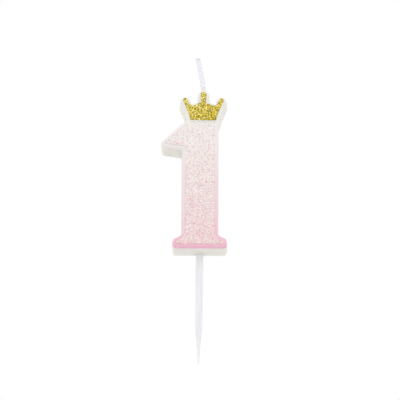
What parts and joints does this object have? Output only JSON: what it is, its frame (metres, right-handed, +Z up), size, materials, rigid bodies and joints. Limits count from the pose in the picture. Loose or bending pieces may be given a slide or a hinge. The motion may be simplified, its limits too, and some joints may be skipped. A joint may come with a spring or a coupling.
{
  "type": "number birthday candle",
  "caption": "Numeral one birthday candle in cast wax with a glitter face, a small crown, a plaited wick and a pick for the cake.",
  "frame": {"origin": "middle of the flat underside of the wax foot, where the candle meets the top of the cake", "axes": "+Z up through the wick, -Y out of the glitter face, +X to the right as the numeral is read"},
  "size_m": [0.0282, 0.0117, 0.1371],
  "materials": {
    "white_wax": "cast paraffin wax, satin and slightly translucent",
    "pink_wax": "sprayed coat that fades from pink at the foot to white at the top",
    "pearl_glitter": "fine iridescent glitter in clear binder",
    "gold_glitter": "fine gold glitter in clear binder",
    "waxed_cotton": "plaited cotton primed with wax",
    "white_plastic": "moulded polypropylene, satin"
  },
  "bodies": {
    "root": {"wax_body": "white_wax", "pink_wax_coat": "pink_wax", "numeral_glitter_coat": "pearl_glitter", "crown_glitter_coat": "gold_glitter", "wick_ply_1": "waxed_cotton", "wick_ply_2": "waxed_cotton", "wick_ply_3": "waxed_cotton", "cake_pick": "white_plastic"}
  },
  "joints": []
}
